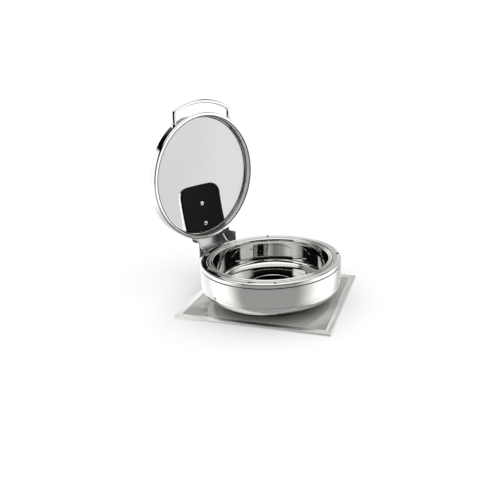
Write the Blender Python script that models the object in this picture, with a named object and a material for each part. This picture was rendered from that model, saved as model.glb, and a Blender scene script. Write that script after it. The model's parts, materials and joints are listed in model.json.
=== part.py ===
"""Round soup kettle with a hinged glass lid, standing on a framed glass plate.

Units are metres, +Z is up.  The lid hinge is at +Y, the handle side is -Y and
the hinge axis runs along X.  The lid is stored standing fully open.
"""
import math

import bmesh
import bpy
from mathutils import Matrix, Vector

# ---------------------------------------------------------------- dimensions
GAP = 0.0003             # clearance between neighbouring pieces

PLATE_LONG = 0.418       # outer size of the plate's frame, long side
PLATE_SHORT = 0.376      # outer size of the plate's frame, short side
PLATE_TURN = 23.8        # degrees between the plate's long side and the handle direction
FRAME_WIDTH = 0.017      # width of the frame's top face
FRAME_HEIGHT = 0.0055    # frame height above the table
FRAME_LIP = 0.0012       # thickness of the backing sheet under the glass
GLASS_SINK = 0.0006      # glass lies this far below the frame's top face

RIM_Z = 0.118            # top face of the kettle's collar above the table
RIM_R = 0.195            # outer radius of the collar
COLLAR_H = 0.0127        # height of the polished collar
COLLAR_INNER_R = 0.1790  # opening that the soup insert hangs in
GROOVE = 0.0009          # shadow gap between collar and casing
DISC_R = 0.118           # radius of the induction disc that the kettle stands on
BUFFER_R = 0.1875        # lid buffers sit this far from the kettle's axis

HINGE_Y = 0.2225         # lid pin, behind the kettle's axis
HINGE_DROP = 0.0220      # lid pin below the collar's top face
OPEN_ANGLE = 90.0        # stored lid angle, degrees

LID_R = 0.1915           # outer radius of the lid's steel ring
LID_UP = 0.0232          # ring's lower edge above the pin
LID_H = 0.0260           # height of the ring
GLASS_R = 0.1755         # radius of the lid glass
DOME = 0.0270            # rise of the lid glass
GLASS_T = 0.0040         # thickness of the lid glass

COVER_HALF = 0.0750      # half width of the hinge cover and of the inner pad
PAD_FRONT = 0.0330       # pad and cover end this far behind the lid's centre
PIN_R = 0.0035           # hinge pin
BARREL_R = 0.0080        # hinge knuckles
SPRING_R = 0.0060        # coil radius of the spring round the pin
SPRING_LENGTH = 0.033    # length of the coil
SPRING_TURNS = 6

BAR_R = 0.0060           # handle rod
BAR_REACH = 0.2234       # centre line of the handle's bow from the lid's centre
BAR_HALF = 0.1028        # handle legs either side of the middle
BAR_UP = 0.0370          # handle rod above the pin

HINGE_Z = RIM_Z - HINGE_DROP
SPHERE_R = (GLASS_R ** 2 + DOME ** 2) / (2 * DOME)
DOME_TOP = LID_UP + LID_H + DOME


# ------------------------------------------------------------------- helpers
def clear_scene():
    for old in list(bpy.data.objects):
        bpy.data.objects.remove(old, do_unlink=True)


def material(name, colour, metallic, roughness, alpha=1.0):
    mat = bpy.data.materials.new(name)
    mat.use_nodes = True
    shader = mat.node_tree.nodes["Principled BSDF"]
    shader.inputs["Base Color"].default_value = (*colour, 1.0)
    shader.inputs["Metallic"].default_value = metallic
    shader.inputs["Roughness"].default_value = roughness
    shader.inputs["Alpha"].default_value = alpha
    return mat


def add_object(name, bm, mat, smooth_angle=35.0):
    bmesh.ops.remove_doubles(bm, verts=bm.verts, dist=1e-6)
    bmesh.ops.recalc_face_normals(bm, faces=bm.faces)
    mesh = bpy.data.meshes.new(name)
    bm.to_mesh(mesh)
    bm.free()
    mesh.materials.append(mat)
    mesh.polygons.foreach_set("use_smooth", [True] * len(mesh.polygons))
    mesh.set_sharp_from_angle(angle=math.radians(smooth_angle))
    obj = bpy.data.objects.new(name, mesh)
    bpy.context.collection.objects.link(obj)
    return obj


def lathe(profile, steps, centre=(0.0, 0.0)):
    """Turn a closed (radius, height) outline round the vertical line through centre."""
    bm = bmesh.new()
    rings = []
    for radius, height in profile:
        if radius < 1e-9:
            rings.append([bm.verts.new((centre[0], centre[1], height))])
            continue
        ring = []
        for i in range(steps):
            a = 2 * math.pi * i / steps
            x = centre[0] + radius * math.cos(a)
            y = centre[1] + radius * math.sin(a)
            ring.append(bm.verts.new((x, y, height)))
        rings.append(ring)
    count = len(rings)
    for k in range(count):
        low = rings[k]
        high = rings[(k + 1) % count]
        if len(low) == 1 and len(high) == 1:
            continue
        for i in range(steps):
            j = (i + 1) % steps
            if len(low) == 1:
                bm.faces.new((low[0], high[j], high[i]))
            elif len(high) == 1:
                bm.faces.new((low[i], low[j], high[0]))
            else:
                bm.faces.new((low[i], low[j], high[j], high[i]))
    return bm


def prism(outline, low, high, axis="X"):
    """Extrude a closed outline along an axis.  Along X it is given as (y, z), along Z as (x, y)."""
    bm = bmesh.new()
    near = []
    far = []
    for a, b in outline:
        if axis == "X":
            near.append(bm.verts.new((low, a, b)))
            far.append(bm.verts.new((high, a, b)))
        else:
            near.append(bm.verts.new((a, b, low)))
            far.append(bm.verts.new((a, b, high)))
    bm.faces.new(near)
    bm.faces.new(list(reversed(far)))
    for i in range(len(near)):
        j = (i + 1) % len(near)
        bm.faces.new((near[i], far[i], far[j], near[j]))
    return bm


def rod_x(radius, low, high, y=0.0, z=0.0, steps=24):
    outline = []
    for i in range(steps):
        a = 2 * math.pi * i / steps
        outline.append((y + radius * math.cos(a), z + radius * math.sin(a)))
    return prism(outline, low, high)


def tube_x(outer, inner, low, high, steps=24):
    bm = lathe([(outer, low), (outer, high), (inner, high), (inner, low)], steps)
    quarter = Matrix.Rotation(math.radians(90), 3, "Y")
    bmesh.ops.rotate(bm, verts=bm.verts, cent=(0, 0, 0), matrix=quarter)
    return bm


def sweep(path, radius, sides):
    """A closed round rod along a polyline that stays in one plane or curls gently."""
    bm = bmesh.new()
    rings = []
    count = len(path)
    normal = None
    for i in range(count):
        before = path[max(i - 1, 0)]
        after = path[min(i + 1, count - 1)]
        along = (after - before).normalized()
        if normal is None:
            normal = along.orthogonal().normalized()
        normal = (normal - along * normal.dot(along)).normalized()
        side = along.cross(normal)
        ring = []
        for k in range(sides):
            a = 2 * math.pi * k / sides
            spoke = normal * math.cos(a) + side * math.sin(a)
            ring.append(bm.verts.new(path[i] + spoke * radius))
        rings.append(ring)
    for low, high in zip(rings[:-1], rings[1:]):
        for k in range(sides):
            j = (k + 1) % sides
            bm.faces.new((low[k], low[j], high[j], high[k]))
    bm.faces.new(list(reversed(rings[0])))
    bm.faces.new(rings[-1])
    return bm


def cut(obj, name, bm, operation="DIFFERENCE"):
    """Cut obj with a hidden solid given in obj's own coordinates."""
    tool = add_object(name, bm, obj.data.materials[0])
    tool.matrix_world = obj.matrix_world
    tool.hide_render = True
    tool.display_type = "WIRE"
    boolean = obj.modifiers.new(name, "BOOLEAN")
    boolean.operation = operation
    boolean.object = tool
    boolean.solver = "EXACT"


def sphere_w(rho):
    """Height of the lid glass's upper face above the pin, at a distance from the lid's axis."""
    return DOME_TOP - SPHERE_R + math.sqrt(SPHERE_R ** 2 - rho ** 2)


def on_lid(obj):
    """Lid pieces are drawn closed, with the pin at their origin and the handle towards -Y."""
    obj.location = (0.0, HINGE_Y, HINGE_Z)
    obj.rotation_euler = (-math.radians(OPEN_ANGLE), 0.0, 0.0)
    bpy.context.view_layer.update()
    return obj


clear_scene()

steel = material("polished_steel", (0.78, 0.78, 0.77), 1.0, 0.12)
satin = material("satin_steel", (0.66, 0.66, 0.65), 1.0, 0.32)
panel = material("grey_glass", (0.16, 0.155, 0.15), 0.0, 0.05)
clear = material("clear_glass", (0.90, 0.92, 0.91), 0.0, 0.02, 0.35)
plastic = material("black_plastic", (0.012, 0.012, 0.012), 0.0, 0.42)
silicone = material("grey_silicone", (0.05, 0.05, 0.05), 0.0, 0.6)

# ------------------------------------------------------------- standing plate
turn = Matrix.Rotation(math.radians(PLATE_TURN), 4, "Z")


def plate_box(long_half, short_half, low, high):
    outline = [(-short_half, -long_half), (short_half, -long_half),
               (short_half, long_half), (-short_half, long_half)]
    return prism(outline, low, high, "Z")


frame = bmesh.new()
lh = PLATE_LONG / 2
sh = PLATE_SHORT / 2
section = [
    (0.0, 0.0),
    (0.0, FRAME_HEIGHT - 0.0012),
    (0.0006, FRAME_HEIGHT),
    (FRAME_WIDTH - 0.0004, FRAME_HEIGHT),
    (FRAME_WIDTH, FRAME_HEIGHT - 0.0004),
    (FRAME_WIDTH, 0.0),
]
loops = []
for inset, height in section:
    a = sh - inset
    b = lh - inset
    loops.append([frame.verts.new((x, y, height)) for x, y in ((-a, -b), (a, -b), (a, b), (-a, b))])
for k in range(len(loops)):
    low_loop = loops[k]
    high_loop = loops[(k + 1) % len(loops)]
    for i in range(4):
        j = (i + 1) % 4
        frame.faces.new((low_loop[i], low_loop[j], high_loop[j], high_loop[i]))
base_frame = add_object("base_frame", frame, satin)
base_frame.matrix_world = turn

inner_l = lh - FRAME_WIDTH - GAP
inner_s = sh - FRAME_WIDTH - GAP
base_backing = add_object("base_backing", plate_box(inner_l, inner_s, 0.0, FRAME_LIP), satin)
base_backing.matrix_world = turn
glass_top = FRAME_HEIGHT - GLASS_SINK
base_glass = add_object("base_glass", plate_box(inner_l, inner_s, FRAME_LIP + GAP, glass_top), panel)
base_glass.matrix_world = turn

# --------------------------------------------------------------- kettle body
# Casing: thin turned bowl whose neck stands up inside the collar.
neck = RIM_Z - COLLAR_H - GROOVE
casing_outer = [
    (0.1913, RIM_Z - 0.0032),
    (0.1913, neck),
    (0.1948, neck),
    (0.1950, neck - 0.0008),
    (0.1946, RIM_Z - 0.035),
    (0.1938, RIM_Z - 0.058),
    (0.1922, RIM_Z - 0.0665),
    (0.1882, RIM_Z - 0.0765),
    (0.1820, RIM_Z - 0.0857),
    (0.1735, RIM_Z - 0.0929),
    (0.1635, RIM_Z - 0.0975),
    (0.1530, RIM_Z - 0.1005),
    (0.1200, RIM_Z - 0.1062),
    (0.0, RIM_Z - 0.1072),
]
casing_inner = [
    (0.0, RIM_Z - 0.1059),
    (0.1200, RIM_Z - 0.1048),
    (0.1525, RIM_Z - 0.0992),
    (0.1710, RIM_Z - 0.0925),
    (0.1868, RIM_Z - 0.0755),
    (0.1923, RIM_Z - 0.058),
    (0.1934, neck - 0.0030),
    (0.1901, neck - 0.0010),
    (0.1901, RIM_Z - 0.0032),
]
kettle_casing = add_object("kettle_casing", lathe(casing_outer + casing_inner, 64), steel)

base_disc_top = RIM_Z - 0.1072 - GAP
disc_foot = glass_top + GAP
disc = [(0.0, base_disc_top), (DISC_R, base_disc_top), (DISC_R, disc_foot + 0.0006),
        (DISC_R - 0.0006, disc_foot), (0.0, disc_foot)]
induction_base = add_object("induction_base", lathe(disc, 48), satin)

collar = [
    (RIM_R - 0.0014, RIM_Z),
    (RIM_R - 0.0004, RIM_Z - 0.0004),
    (RIM_R, RIM_Z - 0.0014),
    (RIM_R, RIM_Z - COLLAR_H),
    (0.1922, RIM_Z - COLLAR_H),
    (0.1922, RIM_Z - 0.0026),
    (COLLAR_INNER_R, RIM_Z - 0.0021),
    (COLLAR_INNER_R, RIM_Z - 0.0004),
    (COLLAR_INNER_R + 0.0004, RIM_Z),
]
collar_ring = add_object("collar_ring", lathe(collar, 64), steel)

# Water pan hangs from its flange, which is clamped under the collar.
water = [
    (0.1888, RIM_Z - 0.0030),
    (0.1888, RIM_Z - 0.0042),
    (0.1722, RIM_Z - 0.0042),
    (0.1700, RIM_Z - 0.0790),
    (0.1560, RIM_Z - 0.0955),
    (0.0, RIM_Z - 0.0955),
    (0.0, RIM_Z - 0.0943),
    (0.1552, RIM_Z - 0.0943),
    (0.1686, RIM_Z - 0.0788),
    (0.1710, RIM_Z - 0.0030),
]
water_pan = add_object("water_pan", lathe(water, 40), satin)

# Soup insert: rolled rim, straight wall and a stepped floor.
insert = [
    (0.1782, RIM_Z - 0.0021),
    (0.1784, RIM_Z + 0.0004),
    (0.1772, RIM_Z + 0.0018),
    (0.1735, RIM_Z + 0.0022),
    (0.1712, RIM_Z + 0.0008),
    (0.1702, RIM_Z - 0.0010),
    (0.1660, RIM_Z - 0.0016),
    (0.1630, RIM_Z - 0.0026),
    (0.1618, RIM_Z - 0.0052),
    (0.1600, RIM_Z - 0.0700),
    (0.1570, RIM_Z - 0.0770),
    (0.1500, RIM_Z - 0.0800),
    (0.1080, RIM_Z - 0.0800),
    (0.1040, RIM_Z - 0.0785),
    (0.0, RIM_Z - 0.0785),
    (0.0, RIM_Z - 0.0797),
    (0.1038, RIM_Z - 0.0797),
    (0.1078, RIM_Z - 0.0812),
    (0.1504, RIM_Z - 0.0812),
    (0.1612, RIM_Z - 0.0722),
    (0.1632, RIM_Z - 0.0056),
    (0.1660, RIM_Z - 0.0029),
    (0.1701, RIM_Z - 0.0023),
]
soup_insert = add_object("soup_insert", lathe(insert, 64), steel)

# Four small buffers on the collar's top face, at 45 degrees to the hinge.
for label, bearing in (("front_left", 225.0), ("front_right", 315.0),
                       ("back_right", 45.0), ("back_left", 135.0)):
    a = math.radians(bearing)
    x = BUFFER_R * math.cos(a)
    y = BUFFER_R * math.sin(a)
    top = RIM_Z + 0.0009
    foot = RIM_Z + 0.00005
    button = [(0.0, top), (0.0026, top), (0.0030, top - 0.0003), (0.0030, foot), (0.0, foot)]
    add_object("rim_buffer_" + label, lathe(button, 16, (x, y)), silicone)

# -------------------------------------------------------------- fixed hinge
# Bracket: flange following the casing's curve, with two webs whose round ends take the pin.
arc = []
for i in range(9):
    a = math.radians(90 + 17.5 - i * 35.0 / 8)
    arc.append(((RIM_R + GAP) * math.cos(a), (RIM_R + GAP) * math.sin(a)))
flange_outline = arc + [(0.0586, 0.2000), (-0.0586, 0.2000)]
flange = prism(flange_outline, HINGE_Z - 0.0200, HINGE_Z + 0.0090, "Z")
hinge_bracket = add_object("hinge_bracket", flange, satin)
for side, label in ((-1, "left"), (1, "right")):
    web_outline = [(0.1985, HINGE_Z - 0.0150), (0.1985, HINGE_Z + 0.0070)]
    for i in range(13):
        a = math.radians(90 - 15 * i)
        web_outline.append((HINGE_Y + BARREL_R * math.cos(a), HINGE_Z + BARREL_R * math.sin(a)))
    near = side * 0.020
    far = side * 0.045
    web = prism(web_outline, min(near, far), max(near, far))
    cut(hinge_bracket, "web_" + label, web, "UNION")
cut(hinge_bracket, "pin_bore", rod_x(PIN_R + 0.0001, -0.050, 0.050, HINGE_Y, HINGE_Z, 24))

for label, x, z in (("upper_left", -0.0515, 0.0035), ("upper_right", 0.0515, 0.0035),
                    ("lower_left", -0.0515, -0.0135), ("lower_right", 0.0515, -0.0135)):
    head = lathe([(0.0, 0.0), (0.0042, 0.0), (0.0042, 0.0014), (0.0030, 0.0026), (0.0, 0.0028)], 20)
    quarter = Matrix.Rotation(math.radians(-90), 3, "X")
    bmesh.ops.rotate(head, verts=head.verts, cent=(0, 0, 0), matrix=quarter)
    screw = add_object("bracket_screw_" + label, head, satin)
    screw.location = (x, 0.2000 + GAP, HINGE_Z + z)

hinge_pin = add_object("hinge_pin", rod_x(PIN_R, -0.0580, 0.0580, 0.0, 0.0, 24), steel)
hinge_pin.location = (0.0, HINGE_Y, HINGE_Z)
for side, label in ((-1, "left"), (1, "right")):
    low = side * 0.0583
    high = side * 0.0610
    cap = add_object("pin_cap_" + label, tube_x(0.0062, 0.0, min(low, high), max(low, high), 20), steel)
    cap.location = (0.0, HINGE_Y, HINGE_Z)
    low = side * 0.0454
    high = side * 0.0476
    washer_tube = tube_x(0.0075, PIN_R + GAP, min(low, high), max(low, high), 24)
    washer = add_object("hinge_washer_" + label, washer_tube, plastic)
    washer.location = (0.0, HINGE_Y, HINGE_Z)

coil = []
coil_steps = SPRING_TURNS * 12
for i in range(coil_steps + 1):
    a = 2 * math.pi * i / 12
    x = SPRING_LENGTH * (i / coil_steps - 0.5)
    coil.append(Vector((x, SPRING_R * math.cos(a), SPRING_R * math.sin(a))))
torsion_spring = add_object("torsion_spring", sweep(coil, 0.0013, 5), satin)
torsion_spring.location = (0.0, HINGE_Y, HINGE_Z)

# ------------------------------------------------------------------ lid ring
lid_centre = (0.0, -HINGE_Y)
ring_low = LID_UP
ring_top = LID_UP + LID_H
ring = [
    (LID_R - 0.0016, ring_low),
    (LID_R, ring_low + 0.0014),
    (LID_R, ring_top - 0.0022),
    (LID_R - 0.0006, ring_top - 0.0007),
    (LID_R - 0.0022, ring_top),
    (0.1770, ring_top),
    (0.1766, ring_top - 0.0006),
    (0.1770, ring_top - 0.0012),
    (LID_R - 0.0030, ring_top - 0.0015),
    (LID_R - 0.0015, ring_top - 0.0030),
    (LID_R - 0.0015, ring_low + 0.0030),
    (LID_R - 0.0030, ring_low + 0.0015),
    (0.1830, ring_low + 0.0012),
    (0.1826, ring_low + 0.0006),
    (0.1830, ring_low),
]
lid_ring = on_lid(add_object("lid_ring", lathe(ring, 64, lid_centre), steel))

gasket = [
    (0.1823, ring_low - 0.0002),
    (0.1823, ring_low + 0.0020),
    (0.1802, ring_low + 0.0020),
    (0.1802, ring_low - 0.0002),
]
lid_gasket = on_lid(add_object("lid_gasket", lathe(gasket, 64, lid_centre), silicone))

# ----------------------------------------------------------------- lid glass
dome_outer = []
dome_inner = []
for i in range(6):
    rho = GLASS_R * i / 5
    dome_outer.append((rho, sphere_w(rho)))
    dome_inner.append((rho, sphere_w(rho) - GLASS_T))
glass_outline = dome_outer + list(reversed(dome_inner))
lid_glass = on_lid(add_object("lid_glass", lathe(glass_outline, 64, lid_centre), clear))

seal_low = sphere_w(GLASS_R) - GLASS_T
seal = [
    (0.1764, ring_top - 0.0018),
    (0.1764, ring_top + 0.0006),
    (0.1758, ring_top + 0.0012),
    (0.1758, seal_low - 0.0006),
    (0.1772, seal_low - 0.0006),
    (0.1772, ring_top - 0.0018),
]
glass_seal = on_lid(add_object("glass_seal", lathe(seal, 64, lid_centre), silicone))

# --------------------------------------------------------------- hinge cover
# Side outline of the cover as (distance in front of the pin, height above the pin).
cover_side = [
    (0.0370, -0.0080),
    (-0.0020, -0.0080),
    (-0.0080, -0.0045),
    (-0.0110, 0.0030),
    (-0.0110, 0.0320),
    (-0.0098, 0.0390),
    (-0.0062, 0.0445),
    (0.0000, 0.0485),
    (0.0166, 0.0540),
    (0.0460, 0.0605),
    (0.0800, 0.0670),
    (0.1200, 0.0730),
    (0.1600, 0.0775),
]


def cover_block(half, inset, drop):
    """Loft the side outline across the hinge, with rounded corners at the front end."""
    front = HINGE_Y - PAD_FRONT - inset
    stations = [-half, -half + 0.0015, -half + 0.006, -half + 0.012, -half + 0.020, -half * 0.35,
                half * 0.35, half - 0.020, half - 0.012, half - 0.006, half - 0.0015, half]
    bm = bmesh.new()
    slices = []
    for x in stations:
        over = abs(x) - (half - 0.020)
        back_off = 0.020 - math.sqrt(max(0.020 ** 2 - max(over, 0.0) ** 2, 0.0))
        nose = front - min(back_off, 0.0165)
        outline = []
        for u, w in cover_side:
            uu = min(u, nose)
            if u < -0.0079 or (u < 0.001 and w > 0.03):
                uu = u + inset
            ww = w - inset if w > 0.030 else w - drop
            outline.append((uu, ww))
        top = 0.0775 + (nose - 0.160) * 0.065 - inset
        outline.append((nose, top))
        outline.append((nose, 0.0560))
        outline.append((0.0600, 0.0330))
        slices.append([bm.verts.new((x, -u, w)) for u, w in outline])
    for near_slice, far_slice in zip(slices[:-1], slices[1:]):
        for i in range(len(near_slice)):
            j = (i + 1) % len(near_slice)
            bm.faces.new((near_slice[i], near_slice[j], far_slice[j], far_slice[i]))
    bm.faces.new(list(reversed(slices[0])))
    bm.faces.new(slices[-1])
    return bm


hinge_cover = on_lid(add_object("hinge_cover", cover_block(COVER_HALF, 0.0, 0.0), steel))
cut(hinge_cover, "cover_hollow", cover_block(COVER_HALF - 0.0018, 0.0018, 0.0140))
clearance = [(0.0, -0.030), (0.2010, -0.030),
             (0.2010, ring_low - 0.0010), (LID_R + 0.0007, ring_low - 0.0010),
             (LID_R + 0.0007, ring_top + 0.0004), (0.1768, ring_top + 0.0016)]
for i in range(7):
    rho = 0.1740 * (6 - i) / 6
    clearance.append((rho, sphere_w(rho) + 0.0004))
cut(hinge_cover, "cover_lid_room", lathe(clearance, 64, lid_centre))

# Two arms inside the cover turn on the pin.
for side, label in ((-1, "left"), (1, "right")):
    arm_outline = []
    for i in range(13):
        a = math.radians(180 + 15 * i)
        arm_outline.append((BARREL_R * math.cos(a), BARREL_R * math.sin(a)))
    arm_outline += [(0.0120, 0.0100), (0.0300, 0.0260), (0.0300, 0.0540), (0.0166, 0.0508), (0.0025, 0.0452),
                    (-0.0030, 0.0418), (-0.0062, 0.0372), (-0.0086, 0.0300), (-0.0086, 0.0060)]
    outline = [(-u, w) for u, w in arm_outline]
    near = side * 0.0480
    far = side * 0.0540
    arm = on_lid(add_object("lid_arm_" + label, prism(outline, min(near, far), max(near, far)), satin))
    bore = rod_x(PIN_R + 0.0001, min(near, far) - 0.004, max(near, far) + 0.004)
    cut(arm, "arm_bore_" + label, bore)

# ----------------------------------------------------------------- inner pad
# Rounded plate under the glass; its rear edge follows the ring.
PAD_GAP = GLASS_T + 0.0004
PAD_T = 0.0050
columns = 10
rows = 6
pad_half = COVER_HALF - 0.0005
bm_pad = bmesh.new()
upper = []
lower = []
for c in range(columns + 1):
    s = -1 + 2 * c / columns
    x = pad_half * math.sin(s * math.pi / 2)
    over = max(abs(x) - (pad_half - 0.022), 0.0)
    start = -PAD_FRONT - min(0.022 - math.sqrt(max(0.022 ** 2 - over ** 2, 0.0)), 0.0165)
    end = -math.sqrt(0.1735 ** 2 - x ** 2)
    up = []
    down = []
    for r in range(rows + 1):
        q = start + (end - start) * r / rows
        rho = math.hypot(x, q)
        top = sphere_w(rho) - PAD_GAP
        u = HINGE_Y + q
        up.append(bm_pad.verts.new((x, -u, top)))
        down.append(bm_pad.verts.new((x, -u, top - PAD_T)))
    upper.append(up)
    lower.append(down)
for c in range(columns):
    for r in range(rows):
        bm_pad.faces.new((upper[c][r], upper[c + 1][r], upper[c + 1][r + 1], upper[c][r + 1]))
        bm_pad.faces.new((lower[c][r], lower[c][r + 1], lower[c + 1][r + 1], lower[c + 1][r]))
    bm_pad.faces.new((upper[c][0], lower[c][0], lower[c + 1][0], upper[c + 1][0]))
    bm_pad.faces.new((upper[c][rows], upper[c + 1][rows], lower[c + 1][rows], lower[c][rows]))
for r in range(rows):
    bm_pad.faces.new((upper[0][r], upper[0][r + 1], lower[0][r + 1], lower[0][r]))
    bm_pad.faces.new((upper[columns][r], lower[columns][r], lower[columns][r + 1], upper[columns][r + 1]))
inner_pad = on_lid(add_object("inner_pad", bm_pad, plastic))

# Two screws clamp cover, glass and pad; each head sits in a flat seat.
for label, behind in (("front", 0.0895), ("rear", 0.1505)):
    u = HINGE_Y - behind
    seat = sphere_w(behind) - PAD_GAP - PAD_T + 0.0004
    top = sphere_w(behind) + 0.0026
    screw = [(0.0, seat - 0.0028), (0.0030, seat - 0.0025), (0.0044, seat - 0.0013), (0.0044, seat),
             (0.0024, seat), (0.0024, top), (0.0, top)]
    on_lid(add_object("pad_screw_" + label, lathe(screw, 20, (0.0, -u)), steel))
    hole = [(0.0, seat - 0.012), (0.0048, seat - 0.012), (0.0048, seat + GAP), (0.0028, seat + GAP),
            (0.0028, top + 0.0012), (0.0, top + 0.0012)]
    cut(inner_pad, "pad_hole_" + label, lathe(hole, 20, (0.0, -u)))
    cut(lid_glass, "glass_hole_" + label, lathe(hole, 20, (0.0, -u)))

# -------------------------------------------------------------------- handle
half_angle = math.asin(BAR_HALF / BAR_REACH)
corner = 0.011
leg_end = math.sqrt(LID_R ** 2 - BAR_HALF ** 2)
bow_end = math.sqrt(BAR_REACH ** 2 - BAR_HALF ** 2)
path = [Vector((-BAR_HALF, -(HINGE_Y + leg_end - 0.008), BAR_UP)),
        Vector((-BAR_HALF, -(HINGE_Y + bow_end - corner), BAR_UP))]
left_corner = Vector((-BAR_HALF, -(HINGE_Y + bow_end), BAR_UP))
inner_angle = half_angle - corner / BAR_REACH
after = Vector((-BAR_REACH * math.sin(inner_angle), -(HINGE_Y + BAR_REACH * math.cos(inner_angle)), BAR_UP))
for i in range(1, 5):
    t = i / 5
    path.append(path[1] * (1 - t) ** 2 + left_corner * 2 * t * (1 - t) + after * t ** 2)
for i in range(17):
    a = -inner_angle + 2 * inner_angle * i / 16
    path.append(Vector((BAR_REACH * math.sin(a), -(HINGE_Y + BAR_REACH * math.cos(a)), BAR_UP)))
mirror = [Vector((-p.x, p.y, p.z)) for p in reversed(path[:6])]
path += mirror
handle_bar = on_lid(add_object("handle_bar", sweep(path, BAR_R, 12), steel))
ring_room = [(0.0, ring_low - 0.01), (LID_R + GAP, ring_low - 0.01),
             (LID_R + GAP, ring_top + 0.01), (0.0, ring_top + 0.01)]
cut(handle_bar, "handle_ring_room", lathe(ring_room, 64, lid_centre))
for side, label in ((-1, "left"), (1, "right")):
    sleeve = lathe([(0.0088, -0.016), (0.0088, 0.0034), (0.0080, 0.0046),
                    (BAR_R + GAP, 0.0050), (BAR_R + GAP, -0.016)], 20)
    quarter = Matrix.Rotation(math.radians(90), 3, "X")
    bmesh.ops.rotate(sleeve, verts=sleeve.verts, cent=(0, 0, 0), matrix=quarter)
    foot = (side * BAR_HALF, -(HINGE_Y + leg_end), BAR_UP)
    bmesh.ops.translate(sleeve, verts=sleeve.verts, vec=foot)
    ferrule = on_lid(add_object("handle_ferrule_" + label, sleeve, steel))
    cut(ferrule, "ferrule_ring_room_" + label, lathe(ring_room, 64, lid_centre))
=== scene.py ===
"""Looks of the round soup kettle: polished steel, a domed glass lid and a framed grey glass plate."""
import json
import math

import bmesh
import bpy
from mathutils import Matrix, Vector

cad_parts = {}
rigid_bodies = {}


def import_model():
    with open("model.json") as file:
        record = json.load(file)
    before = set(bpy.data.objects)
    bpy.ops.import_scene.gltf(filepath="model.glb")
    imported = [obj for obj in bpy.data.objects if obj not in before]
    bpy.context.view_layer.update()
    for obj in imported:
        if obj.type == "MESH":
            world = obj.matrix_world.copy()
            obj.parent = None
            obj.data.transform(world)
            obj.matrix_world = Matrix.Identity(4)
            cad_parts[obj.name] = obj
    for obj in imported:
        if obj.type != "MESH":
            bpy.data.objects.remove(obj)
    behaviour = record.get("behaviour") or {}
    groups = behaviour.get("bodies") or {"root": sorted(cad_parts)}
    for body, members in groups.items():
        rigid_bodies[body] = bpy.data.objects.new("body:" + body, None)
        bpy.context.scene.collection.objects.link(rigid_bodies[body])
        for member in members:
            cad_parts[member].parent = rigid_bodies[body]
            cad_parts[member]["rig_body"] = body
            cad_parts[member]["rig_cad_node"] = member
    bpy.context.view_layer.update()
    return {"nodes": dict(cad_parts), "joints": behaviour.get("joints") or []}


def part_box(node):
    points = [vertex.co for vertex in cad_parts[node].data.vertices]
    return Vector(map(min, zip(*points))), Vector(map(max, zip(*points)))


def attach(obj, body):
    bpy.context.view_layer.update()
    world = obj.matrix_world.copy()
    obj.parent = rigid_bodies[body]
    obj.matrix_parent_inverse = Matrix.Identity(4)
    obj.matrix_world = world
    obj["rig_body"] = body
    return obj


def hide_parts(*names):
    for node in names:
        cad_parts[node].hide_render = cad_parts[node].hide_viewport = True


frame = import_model()
nodes = frame["nodes"]

# ------------------------------------------------------------------ camera
# A normal lens from the front left, a little above the lid's open height.
view = bpy.data.cameras.new("camera")
view.lens = 37.82
view.sensor_width = 36.0
view.shift_x = -0.1005
view.shift_y = -0.1412
view.clip_start = 0.05
view.clip_end = 60.0
camera = bpy.data.objects.new("camera", view)
bpy.context.scene.collection.objects.link(camera)
heading = math.radians(51.08)
downward = math.radians(11.956)
roll = math.radians(-0.865)
forward = Vector((math.sin(heading) * math.cos(downward),
                  math.cos(heading) * math.cos(downward),
                  -math.sin(downward)))
camera.location = (-1.0297, -0.9407, 0.6319)
camera.rotation_mode = "QUATERNION"
level = forward.to_track_quat("-Z", "Y")
camera.rotation_quaternion = level @ Matrix.Rotation(roll, 4, "Z").to_quaternion()
bpy.context.scene.camera = camera
bpy.context.scene.view_settings.view_transform = "Standard"

# --------------------------------------------------------- floor and light
# White sweep under the object, hidden from mirrored rays and from rays through
# glass.  The steel mirrors the studio walls below, turned to suit the camera.
bpy.ops.mesh.primitive_plane_add(size=40.0, location=(0.0, 0.0, -0.0002))
floor = bpy.context.object
floor.name = "floor"
floor_paint = bpy.data.materials.new("white_sweep")
floor_paint.use_nodes = True
floor_shader = floor_paint.node_tree.nodes["Principled BSDF"]
floor_shader.inputs["Base Color"].default_value = (0.92, 0.92, 0.92, 1.0)
floor_shader.inputs["Roughness"].default_value = 0.9
floor_shader.inputs["Specular IOR Level"].default_value = 0.0
floor.data.materials.append(floor_paint)
floor.visible_glossy = False
floor.visible_transmission = False


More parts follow.
